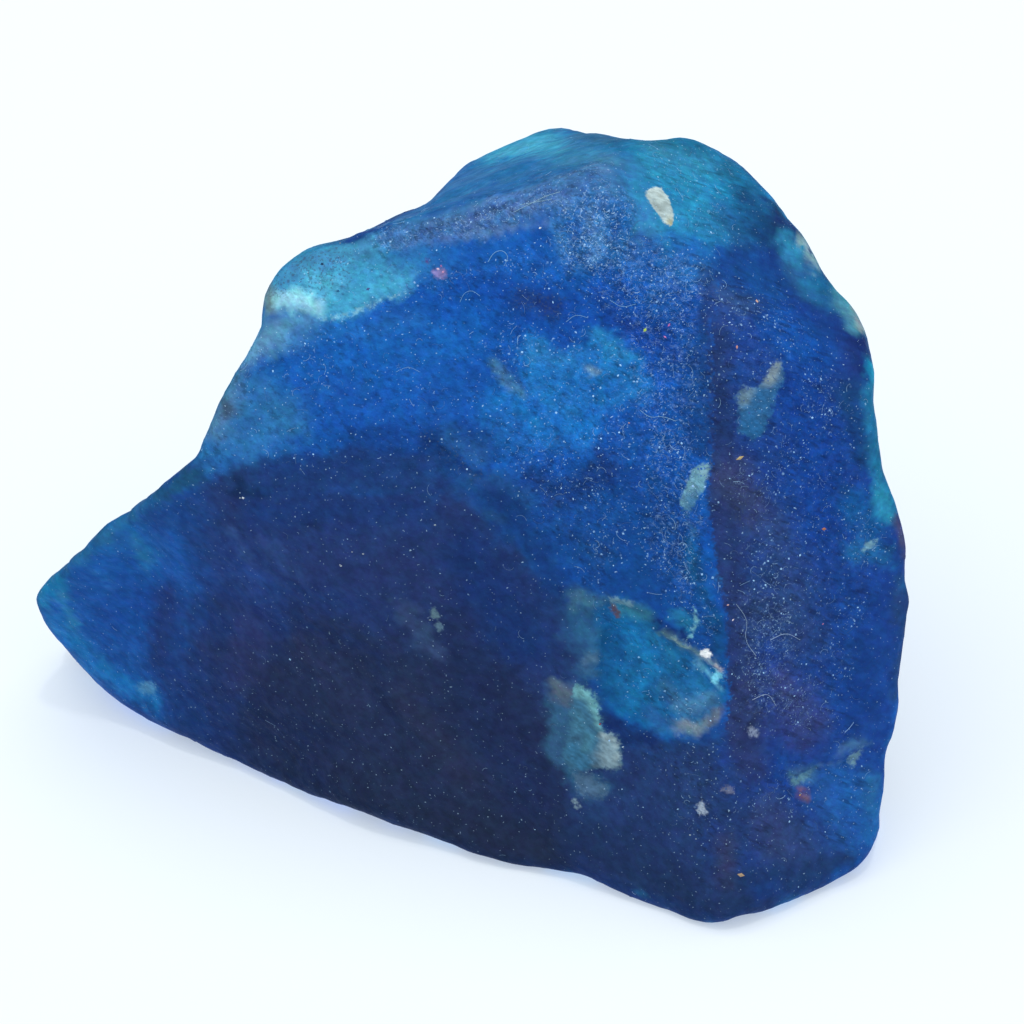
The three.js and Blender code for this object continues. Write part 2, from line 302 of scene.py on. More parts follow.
CHIP_FLOOR = (
    "610,602 635,607 647,619 657,630 672,639 690,646 703,656 716,668 725,677 725,690 721,706 711,718"
    " 699,729 676,733 658,732 638,727 622,716 609,706 602,682 601,645 605,618"
)
CRUST = (
    "580,685 590,692 597,705 595,717 603,725 615,729 621,742 622,765 612,771 597,767 580,771 557,766"
    " 550,748 552,722 551,697 563,683"
)
KITE = "644,193 651,188 660,187 668,198 673,216 671,228 664,224 653,209"
SIDE_PATCH = "776,357 783,366 781,384 775,402 766,424 752,439 739,430 737,402 743,384 755,388 765,370"
ARRIS_PATCH = "681,502 686,484 694,470 703,464 711,463 708,478 701,492 693,506 685,510"
FRONT_RELIEF = [
    # the ridge that runs up from the nose, and the frosted shoulder at its end
    raised("362,238 400,229 475,219 540,205 575,188", 0.12, 12, 3),
    raised("380,247 470,233 545,220", -0.07, 14, 4),
    raised("487,207 533,193 568,179 606,164", 0.1, 14, 3),
    raised("400,222 480,204 540,186", -0.06, 10, 3),
    raised("562,206 585,186 620,184 631,212 626,244 606,268 578,270 556,240", 0.24, 24),
    raised("630,176 640,205 637,245 618,282", -0.14, 16, 4),
    raised("574,212 577,236 572,262", -0.09, 8, 1),
    raised("590,206 594,232 588,262", -0.11, 8, 1),
    raised("606,200 611,228 604,256", -0.11, 8, 1),
    raised("619,198 622,222 618,244", -0.08, 8, 1),
    raised("650,250 662,286 676,318", -0.1, 16, 4),
    raised("700,214 716,236 712,270", 0.1, 18, 4),
    # the arris, with the crack beside its pale patch
    raised("704,290 707,440 712,560 722,650 726,720", 0.09, 14, 2),
    raised("714,466 709,492 714,538 721,562", -0.2, 7, 1.5),
    raised(ARRIS_PATCH, 0.1, 5),
    # the chip on the front corner: its floor, the lens above it and its raised lower lip
    raised(CHIP_FLOOR, -0.3, 9, ragged=4),
    raised("668,612 692,606 698,622 690,636 672,632", -0.14, 6),
    raised("655,622 672,634 690,642 704,654 722,664", 0.12, 7, 1.5),
    raised("672,724 700,729 719,712", 0.12, 9, 4),
    raised("668,702 676,708", -0.1, 8, 5),
    # crusts and the ledge at the lower right
    raised(CRUST, 0.13, 5),
    raised("604,724 616,728 622,745 621,768 606,770", 0.1, 5),
    raised("582,686 592,698 598,716", 0.09, 6, 3),
    raised("572,655 590,652 600,664 590,678 574,672", 0.08, 6),
    raised(KITE, 0.05, 4, ragged=1),
    raised(SIDE_PATCH, 0.07, 7),
    raised("784,780 818,769 850,762 870,748", -0.16, 8, 2),
    raised("786,770 816,761 850,753 868,742", 0.09, 10, 3),
    # small breaks on the upper face
    raised("525,302 552,309", -0.1, 12, 4),
    raised("424,442 452,462 480,477", -0.11, 10, 2),
    raised("500,500 560,545 606,592", -0.09, 16, 3),
    raised("268,306 300,314 326,321 352,316 384,301", -0.05, 8, 2),
    raised("488,372 500,392", 0.04, 8, 5),
]


# ---- Paint: strokes of colour ----------------------------------------------------------

FRONT_PAINT = [
    # the upper face
    patch("200,480 262,320 400,238 600,170 730,230 730,640 620,610 500,522 440,482 300,487", "#1f58ac", 30),
    streak("470,300 640,320 690,300", 24, "#1a4ea4", 50, 1),
    streak("310,350 420,350 470,330", 26, "#2063b5", 50),
    streak("360,446 486,442", 20, "#1d4890", 28, 0.95),
    # painted shade along the crease under the upper face's overhanging lower edge
    streak("222,488 250,474 340,466 436,468", 14, "#243e74", 18, 0.95),
    patch("195,460 215,400 250,375 310,400 310,440 240,470", "#3474ae", 36, 0.85),
    streak("232,372 214,430", 12, "#5482a6", 22, 0.85),
    streak("222,402 229,416", 5, "#425068", 9, 0.7),
    streak("270,352 276,362", 3, "#3a6476", 7, 0.6),
    streak("282,372 286,390", 8, "#1e5aa0", 18, 0.6),
    streak("300,328 266,334 246,352", 14, "#609abe", 28, 0.95),
    streak("300,335 420,318", 8, "#2a6eba", 26, 0.7),
    streak("452,262 520,250 548,262", 12, "#2260b2", 26, 0.7),
    # below the upper face, towards the chip
    patch("555,480 610,455 690,470 715,640 600,600 540,540", "#1b4a90", 44, 0.95),
    streak("592,470 636,482", 10, "#18428a", 26),
    streak("450,476 500,496 560,526 600,560", 16, "#224c8c", 30),
    streak("470,480 520,500", 10, "#2c5c94", 22, 0.6),
    streak("530,478 556,500 600,476", 13, "#1e4080", 24, 0.85),
    # the azure blob in the middle
    streak("506,404 530,428 580,430", 19, "#2270c0", 30, 0.95),
    streak("496,424 520,448", 13, "#2466b0", 26),
    streak("452,440 478,452", 12, "#2e62a0", 24, 0.7),
    patch("514,350 530,338 560,346 590,332 622,345 644,360 648,394 612,408 580,414 545,410 526,392",
        "#2674be", 18, ragged=9),
    streak("596,330 610,343 624,360", 6, "#2e84be", 10),
    streak("560,340 584,340", 5, "#184a9c", 9),
    streak("530,352 560,358", 7, "#347ebe", 16, 0.6),
    streak("566,392 610,388", 8, "#2068b8", 18, 0.6),
    streak("493,364 506,380 520,396", 6, "#467aa6", 8, 0.9, 5),
    streak("588,368 594,370", 3, "#7096aa", 5, ragged=3),
    streak("524,418 534,430", 8, "#2276be", 16, 0.7),
    streak("650,350 676,352", 8, "#184294", 16, 0.7),
    streak("598,455 606,478", 5, "#163470", 10),
    streak("566,440 574,452", 4, "#1c427c", 8, 0.7),
    streak("640,440 690,430", 14, "#1c54a4", 26, 0.7),
    # dark on the upper face: painted shade in two small grooves, the first and the last, and a stain
    # between them
    streak("525,300 552,308", 9, "#243c7c", 18),
    streak("612,318 655,332", 10, "#183e8c", 24),
    streak("420,440 450,462 480,478", 6, "#16346c", 14, 0.75),
    # the nose: its pale turquoise is partly painted glow of light through the thin nose, brightest along
    # its lower edge
    patch("262,318 264,270 300,246 370,240 424,232 430,262 409,294 381,303 352,317 328,322 308,314 270,309",
        "#489cca", 10, ragged=5),
    streak("400,246 436,262", 18, "#2c6eb4", 30, 0.9),
    streak("285,272 320,256 372,250", 9, "#4488b4", 18),
    streak("270,301 296,299 316,307", 8, "#98def0", 11, 1, 4),
    streak("333,300 372,288", 10, "#4cb2d6", 18, 0.7),
    streak("310,284 352,288", 9, "#56b0d2", 18),
    streak("352,292 372,270", 10, "#409aca", 18),
    streak("266,285 263,312", 5, "#68747c", 9),
    # the crown, the ridges below it and the shoulder
    patch("372,232 430,198 466,158 520,128 590,124 630,132 668,200 640,250 600,245 560,200 430,228",
        "#407ab4", 18),
    streak("492,150 552,142", 13, "#60b4d8", 24, 0.95),
    streak("508,168 528,164", 8, "#2a70ae", 16),
    streak("578,134 628,142", 7, "#306c94", 12),
    streak("572,156 606,160", 12, "#5290b8", 20),
    # the ridge below the crown: bluish-grey dust with painted sheen, then fine lines of fibres along it,
    # the pale ones partly painted sheen
    patch("372,240 430,222 500,190 560,182 600,170 620,184 560,212 480,238 400,248", "#4676b2", 12, 0.9, 5),
    streak("420,232 500,214", 3, "#345896", 8, ragged=5),
    streak("430,212 470,196 500,180", 3, "#305ea4", 8, 0.7, 5),
    streak("448,200 486,182", 2, "#5c94c2", 6, 0.6, 4),
    streak("470,206 520,190 560,176", 2, "#608cbe", 6, 0.6, 4),
    streak("480,197 540,178 590,161", 2, "#32609e", 7, 0.6, 4),
    streak("500,182 566,162", 2, "#548ab8", 7, 0.6, 4),
    streak("455,220 520,203 570,188", 2, "#325494", 6, 0.7, 4),
    streak("432,241 480,235 520,227 552,223", 2, "#6c8ec0", 6, 0.7, 4),
    streak("430,225 480,219 520,209 560,198", 2, "#688abc", 6, 0.6, 4),
    streak("566,178 585,170 610,172", 2, "#6488b6", 6, 0.6, 4),
    patch("556,212 590,190 632,194 640,250 612,282 575,272", "#2c68ae", 26, 0.9),
    # painted highlights on the crests of the shoulder's folds, then painted shade in the grooves between
    # them
    streak("588,212 596,238 598,258", 6, "#4e82be", 9, ragged=6),
    streak("556,222 566,256", 6, "#447ec0", 12, 0.7, 5),
    streak("624,244 632,270", 5, "#3c74b4", 10, 0.7, 5),
    streak("616,212 628,236", 7, "#1e549c", 12, 0.7, 5),
    streak("577,216 578,258", 3, "#22529a", 8, ragged=5),
    streak("614,214 612,248", 3, "#204e94", 8, ragged=5),
    streak("604,270 618,284", 5, "#1e4c96", 12, 0.7),
    # the top right: its teal is partly painted glow of light through the thin upper rim
    patch("628,138 690,134 735,160 764,210 736,246 690,246 644,224 632,180", "#328cbe", 36),
    streak("655,158 700,165", 18, "#3e92ba", 34, 0.7),
    streak("640,140 668,150", 6, "#4880a0", 12, 0.6),
    streak("722,168 746,196", 8, "#2c628c", 18, 0.7),
    streak("742,196 764,226", 9, "#1c4476", 18),
    streak("664,141 706,152", 5, "#32688c", 12, 0.7),
    streak("728,218 760,252", 16, "#26548c", 30),
    streak("668,262 700,270", 18, "#2a6eb6", 36),
    streak("644,268 656,300", 14, "#225caa", 30),
    streak("650,300 690,330", 12, "#22549e", 24, 0.6),
    # left of the arris
    streak("704,274 706,340 706,450", 6, "#263c6c", 14, ragged=6),
    streak("692,340 696,440", 12, "#184688", 24, 0.9),
    streak("700,560 710,610 718,650", 8, "#1a4d80", 14, 0.85),
    streak("690,540 696,580", 5, "#226496", 10, 0.7),
    streak("676,614 688,626", 8, "#2c749e", 10, ragged=4),
    # painted shadow: a narrow dark band along the chip's pale upper lip
    streak("646,614 668,629 690,637", 3, "#0f2e66", 6, 1, 3),
    # the haze beside the chip
    patch("552,600 570,588 602,590 616,602 610,640 606,676 576,680 556,654 544,630",
        "#2e5882", 16, 0.85, 10),
    streak("574,602 598,600", 7, "#48768c", 12, 0.6),
    streak("560,640 548,652", 5, "#3e769e", 10, 0.7),
    streak("588,622 592,640", 6, "#32628a", 12, 0.6),
    streak("564,652 572,662", 5, "#284060", 9),
    # the foot, darker and greyer towards the bottom
    patch("20,600 110,520 200,466 300,492 440,488 500,526 556,604 590,740 572,890 380,840 130,740",
        "#2a3c6c", 30, ragged=14),
    patch("225,650 330,620 520,660 590,780 560,890 400,850 240,790", "#2a3554", 70, ragged=20),
    streak("300,775 430,820 540,850", 26, "#28324c", 44, 0.9),
    streak("470,560 520,640", 30, "#20386e", 50),
    streak("496,500 536,546 554,592", 15, "#1f3c74", 26, 0.9),
    streak("255,510 330,512 420,510", 14, "#243e78", 30),
    streak("280,486 360,482 436,484", 9, "#263e72", 14, 0.85),
    streak("210,560 260,580", 22, "#2f467e", 40),
    streak("330,560 400,600", 26, "#2c3c6c", 44, 0.7),
    streak("450,640 500,720 540,790", 30, "#263256", 60, 0.9),
    streak("270,700 320,760", 26, "#2a3454", 50),
    streak("404,612 436,652", 9, "#3a4e72", 14, 0.7),
    streak("185,470 192,480", 6, "#323c54", 9),
    streak("238,486 262,492", 5, "#1a3054", 10, 0.7),
    streak("312,524 322,528", 4, "#202c4c", 8, 0.7),
    streak("226,530 250,560", 4, "#3a548a", 8, 0.5),
    streak("262,540 300,580", 5, "#364c80", 10, 0.5),
    streak("300,640 360,700", 14, "#323a5c", 24, 0.5),
    streak("400,700 470,780", 14, "#303650", 24, 0.5),
    streak("250,620 240,680", 16, "#363e6c", 24, 0.5),
    streak("386,560 440,590", 12, "#2c3864", 22, 0.6),
    # the lobe at the left
    patch("20,600 110,522 196,470 200,520 192,600 180,650 176,720 90,700", "#245296", 44, ragged=14),
    streak("120,610 156,600", 22, "#214a92", 40, 0.7),
    streak("105,545 135,535 150,560", 10, "#2a64a2", 26, 0.7),
    streak("50,580 110,528 190,478", 7, "#306c9c", 14),
    # painted glow of light through the thin left tip
    streak("38,600 46,590 58,582", 8, "#2076a8", 12, 0.95),
    streak("62,590 74,636", 5, "#3e7ea2", 12, 0.7),
    streak("92,566 110,590", 4, "#386ca4", 10, 0.5),
    streak("168,600 160,660 188,712", 15, "#2a3c70", 26, 0.9),
    streak("166,494 198,474", 7, "#224c6e", 14),
    streak("134,540 150,562", 7, "#326c98", 14, 0.7),
    streak("160,512 188,518 194,548", 12, "#28467e", 22),
    streak("52,618 92,660 148,700", 9, "#266caa", 16, 0.9),
    streak("172,696 196,724", 12, "#264074", 20, 0.85),
    # the front corner, below the chip
    patch("570,770 640,736 730,736 770,800 720,920 600,880", "#2a3e6c", 34, 0.95),
    streak("580,835 640,868 700,900 800,880", 22, "#26375c", 40, 0.95),
    streak("604,716 620,732 640,738", 6, "#223868", 10, 0.9),
    # the chip on the front corner: its floor, then its rims and stains, and last painted glints along its
    # right rim
    patch(CHIP_FLOOR, "#22649a", 9, ragged=5),
    streak("608,616 604,690", 9, "#1e588e", 16),
    streak("624,606 646,616", 7, "#3a7c9a", 10, 0.9, 4),
    streak("634,636 648,676 630,700", 8, "#247ab6", 14, 0.7),
    streak("652,640 672,656", 4, "#3080b2", 10, 0.6),
    streak("618,640 622,668", 3, "#1c5898", 8, 0.6),
    streak("664,632 680,641 702,653", 3.5, "#5c828a", 6, 0.9, 4),
    streak("700,664 712,684", 6, "#1c5896", 10, 0.7),
    streak("690,682 704,700", 7, "#2c76b0", 12, 0.6),
    streak("676,708 704,702", 9, "#4a7aa4", 12),
    streak("664,688 676,696", 7, "#386e9c", 12),
    streak("662,700 668,708", 4, "#28487a", 9, 0.7, 6),
    streak("650,716 662,726", 6, "#346298", 10, 0.7),
    streak("674,727 700,727 716,714", 4.5, "#708896", 7, 0.85, 5),
    streak("708,722 720,708", 3, "#545c6e", 6, ragged=4),
    streak("684,722 692,724", 3, "#8e94a2", 6, 0.7, 4),
    streak("602,716 624,733 652,740", 8, "#213668", 9, 0.95, 4),
    # painted glints along the chip's right rim
    streak("690,655 706,671 719,690", 2, "#68b0d0", 5, ragged=4),
    streak("700,656 716,664", 2, "#a4c4d0", 5, ragged=4),
    # the soft left side of the crust
    patch("556,682 580,684 596,700 598,766 580,772 556,768 544,748 546,700", "#365e80", 16, 0.85, 8),
    streak("560,686 574,694", 6, "#5c6876", 11),
    streak("574,776 596,788", 9, "#346284", 12, 0.7),
]

# Strokes that only lie on the right face, beyond the arris.
SIDE_PAINT = [
    patch("690,300 716,262 760,246 800,262 850,310 874,400 905,540 896,700 876,860 760,900 700,860 690,740"
        " 680,640 670,470", "#24468e", 24, ragged=8),
    streak("700,330 716,430 722,520 736,640 744,720", 20, "#2c3e70", 30, 1),
    streak("714,340 720,430", 12, "#23386a", 22),
    streak("716,292 746,304", 12, "#385890", 22),
    streak("740,270 770,290", 16, "#225296", 30),
    streak("782,330 812,352", 18, "#1a54aa", 30, 0.9),
    streak("800,390 816,450 822,520", 24, "#1c4696", 44, 0.9),
    streak("732,476 762,520", 18, "#3c446c", 30),
    streak("770,540 790,590", 24, "#304a82", 44, 0.9),
    streak("760,610 800,630", 26, "#304676", 46),
    streak("780,680 810,720", 18, "#3c4678", 36),
    streak("848,590 856,690", 22, "#21458a", 40, 0.95),
    streak("856,340 862,366", 12, "#223470", 18),
    streak("850,390 860,450", 11, "#204478", 20, 0.9),
    streak("796,262 808,282", 14, "#34689e", 24, 0.9),
    # along the right rim: turquoise for painted glow of light through the thin edge, pale grey for painted
    # rim highlights
    streak("782,240 796,254", 9, "#368eba", 14),
    streak("800,240 816,268", 5, "#96b8c2", 9, ragged=4),
    streak("812,280 832,304", 10, "#2a70a2", 18),
    streak("838,292 858,324", 9, "#589cb2", 14, 0.9, 5),
    streak("848,294 864,330", 3, "#a8b4bc", 7, ragged=4),
    streak("868,366 872,380", 5, "#2692ba", 9, 0.9, 4),
    streak("868,392 873,430 877,470", 8, "#2e7aa4", 12, 0.9, 4),
    streak("876,404 879,430", 3, "#8898a6", 7, 0.7, 4),
    patch("872,474 892,480 900,506 890,524 874,520", "#3492b8", 14, 0.95, 6),
    streak("852,500 868,530", 12, "#2060a0", 24),
    streak("898,520 903,556", 5, "#565472", 10),
    streak("898,580 902,640 894,700", 6, "#2c4874", 14, 0.7),
    streak("790,836 806,852", 24, "#344a7a", 40),
    streak("832,790 856,830", 24, "#2c5a9e", 40, 0.95),
    streak("868,780 872,836", 8, "#3272a8", 18, 0.9),
    streak("690,760 730,820 720,880", 24, "#2a3e6c", 40, 0.9),
    streak("766,810 774,850", 20, "#364470", 30),
    streak("776,726 806,740", 14, "#3c4072", 26, 0.5),
    patch("786,766 816,764 812,778 790,784", "#4c789a", 10, 0.6, 6),
    streak("816,766 840,760", 2, "#52769e", 6, 0.6, 4),
    streak("838,748 866,744", 4, "#527a9e", 9, 0.6, 6),
    streak("798,792 803,798", 3, "#805c60", 6, ragged=3),
    streak("724,840 728,880", 8, "#3a3c58", 14, 0.6),
    streak("738,690 748,765", 18, "#303c68", 28, 0.9),
    streak("852,546 880,560", 9, "#286aa4", 16),
    streak("840,776 866,840", 14, "#265ca6", 24, 0.7),
    streak("740,880 800,878 846,860", 11, "#263c66", 18, 0.85),
]

# The arris between the two: its course down the frame, and how sharp it is there, as the
# half width in pixels over which one face's colours give way to the other's.
ARRIS_COURSE = [
    (200, 700, 26), (258, 706, 20), (320, 709, 9), (345, 711, 5), (460, 711, 4),
    (500, 707, 3), (540, 713, 4), (590, 722, 4), (640, 726, 3), (720, 727, 4),
    (760, 715, 12), (930, 690, 20),
]

# Where the surface is dusty and sharply grained, with painted glints in its pale smudges and squiggles, and
# where dark grime dots it.
FRONT_FROST = [
    strength("250,350 420,250 560,240 600,300 480,470 240,460", 0.2),
    strength("440,282 520,262 640,300", 0.5, 20, 14),
    strength("480,330 640,330 660,440 600,600 500,460", 0.5),
    strength("556,270 660,230 706,260 706,640 650,560 620,330", 0.8),
    strength("556,208 590,182 630,190 640,250 616,284 560,264", 1.05, 20),
    strength("380,240 470,226 560,196", 0.8, 14, 14),
    strength("486,206 600,168", 0.6, 14, 8),
    strength("640,140 740,170 760,250 660,250", 0.35),
    strength("716,270 790,300 850,400 880,560 840,740 740,730", 0.5),
    strength("730,580 800,600 800,720 736,720", 0.75, 30),
    strength("640,740 860,760 860,840 720,880", 0.3),
    strength("600,600 700,660 710,720 620,710", 0.3, 20),
    strength("216,460 260,350", 0.3, 30, 12),
    strength("270,300 350,250 420,260 340,310", 0.3, 20),
]
FRONT_GRIME = [
    strength("262,300 268,262 310,243 356,244 352,280 320,296", 0.9, 16),
    strength("512,292 560,296 556,318 520,314", 0.8, 16),
    strength("420,436 452,458 486,480", 0.7, 16, 8),
    strength("722,470 770,480 766,520 730,520", 0.7, 20),
]


# ---- Marks: strokes with crisp edges ---------------------------------------------------

FRONT_MARKS = [
    # the near-white fleck at the top right
    patch(KITE, "#bad0d2", 2.5, ragged=1),
    # the grey-green patch on the right face
    patch(SIDE_PATCH, "#326898", 8, 0.95, 5),
    # the pale patch on the arris, and what runs on below it
    patch(ARRIS_PATCH, "#6ea2b4", 5, 0.95, 4),
    streak("684,510 692,534", 2.5, "#467c9e", 7, 0.5, 5),
    # pale rims of the chip on the front corner
    streak("612,600 630,604", 3, "#749cac", 6, ragged=4),
    streak("672,636 690,643", 1.6, "#96b0aa", 5, 0.6, 5),
    streak("694,608 696,622 690,636", 2, "#70acbe", 4, 0.9, 3),
    # the crust beside it
    patch("576,684 590,690 598,704 597,718 604,727 616,729 622,742 622,766 612,772 596,768 574,770 566,752"
        " 568,724 570,700", "#3e6a86", 8, 0.95, 6),
    patch("578,654 594,650 603,662 594,676 582,672", "#466a84", 14, 0.35, 9),
    patch("574,774 592,772 606,792 598,798 580,790", "#526e88", 10, 0.7, 7),
    streak("576,800 578,805", 3, "#8ca6b2", 6, ragged=3),
    # pale bits on the ledge at the lower right
    patch("785,771 794,776 816,767 804,778 792,784", "#6290a0", 5, 0.8, 4),
    patch("846,757 866,747 858,759 851,767", "#7098a6", 6, 0.8, 4),
    # painted glints at the chip's right corner, and the red-brown spot at its left
    streak("704,651 708,654", 4, "#ecf2f6", 4, 1, 3),
    streak("717,665 722,668", 2.5, "#bebec8", 5, 0.9, 3),
    streak("715,682 720,674", 3.5, "#7cd2ec", 6, 0.9, 3),
    streak("613,609 618,617", 3, "#5c464e", 4, 0.85, 2),
    # white bits below the chip
    streak("702,804 703,811", 3.5, "#aabacc", 7, 0.9, 4),
    streak("748,730 755,732", 3, "#a0b0cc", 7, ragged=5),
    streak("726,790 732,791", 3.5, "#747a92", 6, ragged=4),
    # the pale lens near the right rim
    patch("858,552 864,542 876,539 870,550", "#78a6ba", 5, 0.9, 3),
    # small spots on the lobe and on the foot
    streak("143,686 148,690", 6, "#588eb0", 9, 0.7, 6),
    streak("431,611 434,614", 4, "#6a8a92", 6, 0.7, 4),
    streak("437,627 440,630", 3, "#628092", 6, 0.7, 4),
    # the pink cluster of dust right of the nose
    streak("437,271 444,272", 5, "#8c80b6", 6, ragged=4),
    streak("422,258 427,260", 2.5, "#603c80", 5, ragged=4),
    # the thin pale line under the nose: painted glow along the thin nose's lower edge
    streak("270,306 300,310 326,320 348,316 376,303 404,294", 1.6, "#8cc8de", 5, 0.75, 3),
]

# Soft colours within those marks.
MARK_PAINT = [
    streak("652,204 660,214", 4, "#9cacac", 6, 0.7, 3),
    streak("668,221 670,226", 3, "#b0aa7a", 5, ragged=2),
    streak("661,196 663,206", 2, "#92988c", 4, 0.6, 2),
    streak("648,192 656,190", 3, "#cee2e2", 5, ragged=2),
    streak("773,362 768,378", 8, "#84989c", 10, 0.9, 4),
    streak("772,366 770,372", 3, "#56688c", 6, 0.6, 3),
    streak("746,386 742,402", 6, "#6c8a9a", 8, 0.9, 4),
    streak("748,424 756,432", 8, "#2c6698", 10, ragged=4),
    streak("692,524 694,496", 8, "#366892", 12, 0.85, 4),
    streak("706,466 706,476", 3, "#96becc", 6, 0.7, 3),
    streak("578,688 590,694 596,708 600,720", 6, "#70aab0", 8, 0.9, 4),
    patch("600,730 614,729 621,742 621,768 602,772 600,752", "#809ca8", 5, ragged=2),
    streak("603,732 617,738 619,764", 2, "#98aeb2", 5, ragged=2),
    streak("574,712 578,728", 6, "#467a94", 10, 0.7),
    streak("578,738 584,746", 5, "#385874", 10, 0.7),
    streak("574,750 590,762", 6, "#3a7092", 10, 0.7),
    streak("598,752 596,764", 3, "#6c808c", 6, 0.6, 3),
    streak("588,734 588,748", 4, "#508c9e", 9, 0.6),
    streak("584,660 598,658", 3, "#8098a0", 7, 0.7, 5),
]


# ---- The stone's mesh and its brushed colours ------------------------------------------

# How strongly the light falls on a face: an even part, and a part by the way it faces.
LIGHT_EVEN = 0.94
LIGHT_WAY = np.array([-0.055, -0.19, 0.625])
# Light that the surface gives back without colour: everywhere, and more along its rims.
VEIL_EVEN, VEIL_RIM = 0.0108, 0.12
# The most of it that is taken off, as a share of the darkest channel.
VEIL_MOST = 0.8

COARSE_BEND, FINE_BEND = 1.7, 0.55
# How far from each point, in pixels, the other colour comes that is mottled into its own.
STRAY = 7


def as_albedo(seen, normals):
    light = LIGHT_EVEN + normals @ LIGHT_WAY
    facing = normals @ TOWARDS_EYE
    slant = 1 - np.clip(facing, 0.15, 1)
    veil = VEIL_EVEN + VEIL_RIM * slant**3 * smooth_step(facing, -0.1, 0.15)
    veil = np.minimum(veil, VEIL_MOST * seen.min(axis=1))
    return (seen - veil[:, None]) / light[:, None]


def hidden_colours(points):
    """Colours where no stroke reaches: the same blues in soft clouds."""
    cloud = fractal(points, 9.0, 4, 3)[:, None]
    patchy = fractal(points, 5.0, 4, 7)[:, None]
    small = fractal(points, 2.6, 3, 12)[:, None]
    low = 1 - smooth_step(points[:, 2:], 3.0, 16.0)
    colours = linear("#214a92") * np.ones_like(points)
    for gate, colour in (
        (low, "#2a3c6a"),
        (smooth_step(cloud, 0.0, 0.45), "#2062b2"),
        (smooth_step(-cloud, 0.05, 0.5) * 0.8, "#2c3c6a"),
        (smooth_step(patchy, 0.25, 0.55), "#2e7cb4"),
        (smooth_step(small, 0.38, 0.5) * 0.7, "#4284b0"),
        (smooth_step(-small, 0.36, 0.5) * 0.8, "#1e3464"),
    ):
        colours = colours * (1 - gate) + linear(colour) * gate
    return colours


def add_attribute(mesh, name, values):
    if values.ndim == 1:
        kind, key = "FLOAT", "value"
    else:
        kind, key = "FLOAT_COLOR", "color"
        values = np.pad(values, ((0, 0), (0, 1)), constant_values=1)
    layer = mesh.attributes.new(name, kind, "POINT")
    layer.data.foreach_set(key, values.astype(np.float32).ravel())


def placed(name, data):
    """A new object of the scene."""
    made = bpy.data.objects.new(name, data)
    bpy.context.scene.collection.objects.link(made)
    return made


def make_mesh(name, points, triangles, material, flat=False):
    """A piece of the stone from points in millimetres from the datum."""
    mesh = bpy.data.meshes.new(name)
    corners = (points - BOX_MIDDLE) * MM
    mesh.from_pydata(corners.tolist(), [], triangles.tolist(), shade_flat=flat)
    mesh.validate()
    mesh.materials.append(material)
    piece = placed(name, mesh)
    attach(piece, "root")
    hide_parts("stone")
    return piece


def stone_surface():
    """The fine mesh of the stone: its points, before the relief, and its triangles."""
    points, triangles = welded_solid(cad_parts["stone"])
    for _ in range(SPLITS):
        points, triangles = split(points, triangles)
    return evened(points, triangles), triangles


def relief(points, canvas, seen):
    """How far each point is raised along its normal, in millimetres."""
    height = BUMP_HEIGHT * fractal(points, BUMP_LENGTH, BUMP_OCTAVES, 1)
    pitted = smooth_step(fractal(points, 4.0, 2, 9), 0, 0.4)
    height -= PIT_DEPTH * pits(points, PIT_SPACING, 2) * pitted
    height += sum(canvas.amount(stroke) for stroke in FRONT_RELIEF) * seen
    height *= smooth_step(points[:, 2], 0.0, 0.6)
    height += RIGHT_FILL * smooth_step(points[:, 0], RIGHT_FROM, RIGHT_TO)
    return height + RIM_FILL * (1 - smooth_step(points[:, 2], 0.0, RIM_HEIGHT))


def add_stone():
    """Makes the stone, and gives its points, triangles, frost and albedo."""
    points, triangles = stone_surface()
    normals = point_normals(points, triangles)
    facing = normals @ TOWARDS_EYE
    seen = smooth_step(facing, -0.35, -0.02)
    bend = drift(points, COARSE_BEND, 1) + 0.6 * drift(points, FINE_BEND, 2)
    stray = drift(points, FINE_BEND, 3) * STRAY
    across, down = in_frame(points)
    canvas = Canvas(across, down, bend)
    lifted = points + normals * relief(points, canvas, seen)[:, None]
    lifted[:, 2] = np.maximum(lifted[:, 2], 0.0)
    mesh = make_mesh("rough_stone", lifted, triangles, stone_material()).data
    hidden = hidden_colours(points)

    def seen_albedo(colours):
        return as_albedo(hidden + (colours - hidden) * seen[:, None], normals)

    strayed = Canvas(across + stray[:, 0], down + stray[:, 1], bend)
    for name, place in (("", canvas), ("stray_", strayed)):
        front = place.brushed(hidden, FRONT_PAINT)
        side = place.brushed(front, SIDE_PAINT)
        add_attribute(mesh, name + "paint", seen_albedo(front))
        add_attribute(mesh, name + "side_paint", seen_albedo(side))
    beyond = canvas.beyond_arris()
    add_attribute(mesh, "side", beyond)
    gap, colours, share = canvas.crisp(FRONT_MARKS)
    colours = canvas.brushed(colours, MARK_PAINT)
    add_attribute(mesh, "mark", as_albedo(colours, normals))
    add_attribute(mesh, "mark_gap", gap)
    add_attribute(mesh, "mark_share", share * (facing > 0))
    patchy = smooth_step(fractal(points, 6.0, 3, 21), 0.0, 0.5)
    frost = np.max([canvas.amount(stroke) for stroke in FRONT_FROST], axis=0)
    frost = frost * seen + 0.5 * patchy * (1 - seen)
    grime = np.max([canvas.amount(stroke) for stroke in FRONT_GRIME], axis=0)
    add_attribute(mesh, "frost", frost)
    add_attribute(mesh, "grime", grime * seen)
    albedo = seen_albedo(np.where(beyond[:, None] > 0, side, front))
    return lifted, triangles, frost, albedo


# ---- Materials -------------------------------------------------------------------------


